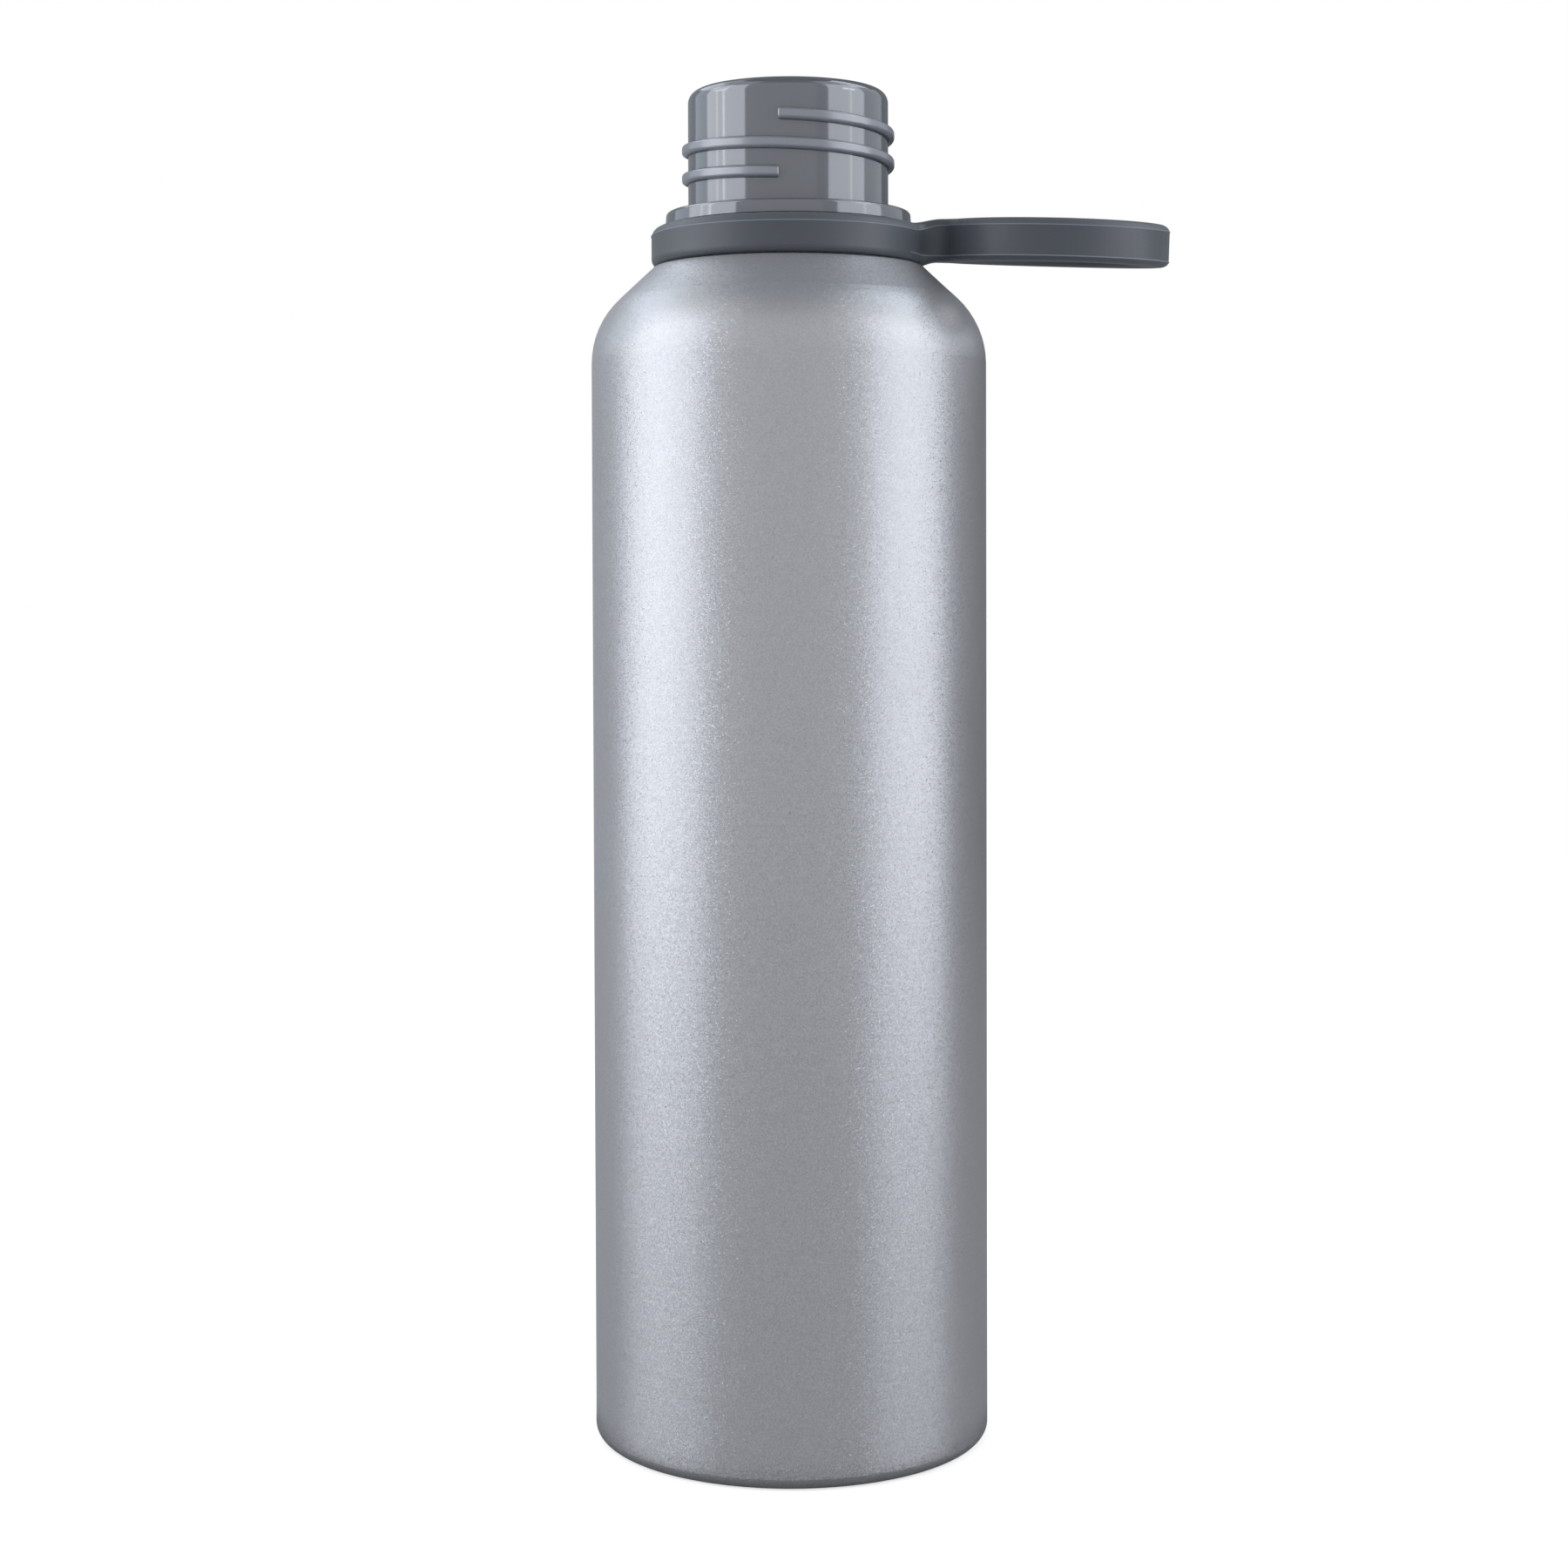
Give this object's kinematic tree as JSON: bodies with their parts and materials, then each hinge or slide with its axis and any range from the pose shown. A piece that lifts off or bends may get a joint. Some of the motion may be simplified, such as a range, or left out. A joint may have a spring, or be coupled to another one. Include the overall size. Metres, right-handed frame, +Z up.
{
  "type": "insulated drinks bottle body",
  "caption": "Double-wall steel drinks bottle with a round shoulder, a plastic threaded neck collar, no cap, and a rubber carry strap that swivels round the neck and flexes",
  "frame": {"origin": "centre of the standing base, on the bottle's axis", "axes": "+Z runs up the bottle's axis to the mouth, +X points to the carry loop at rest, +Y completes a right-handed frame"},
  "size_m": [0.1025, 0.07, 0.2383],
  "materials": {
    "silver_coat": "satin silver coat with a fine metallic speckle",
    "brushed_steel": "plain drawn stainless steel",
    "solder_glass": "fused sealing glass",
    "getter_alloy": "pressed metal powder",
    "grey_plastic": "polished mid-grey moulding",
    "clear_silicone": "translucent white silicone",
    "strap_rubber": "matte dark grey rubber"
  },
  "bodies": {
    "bottle": {"outer_shell": "silver_coat", "outer_base": "silver_coat", "base_cover": "brushed_steel", "seal_bead": "solder_glass", "inner_liner": "brushed_steel", "inner_base": "brushed_steel", "getter": "getter_alloy", "neck_collar": "grey_plastic", "mouth_seal": "clear_silicone"},
    "neck_strap": {"strap_ring": "strap_rubber", "strap_web": "strap_rubber"},
    "carry_strap": {"strap_loop": "strap_rubber"}
  },
  "joints": [
    {"name": "strap_swivel", "type": "hinge", "parent": "bottle", "child": "neck_strap", "pos_m": [0, 0, 0.21085], "axis": [0, 0, 1], "continuous": true},
    {"name": "loop_flex", "type": "hinge", "parent": "neck_strap", "child": "carry_strap", "pos_m": [0.02565, 0, 0.21185], "axis": [0, -1, 0], "range_deg": [-30, 85], "stiffness_Nm_per_rad": 0.06, "deforming": ["strap_web"]}
  ]
}
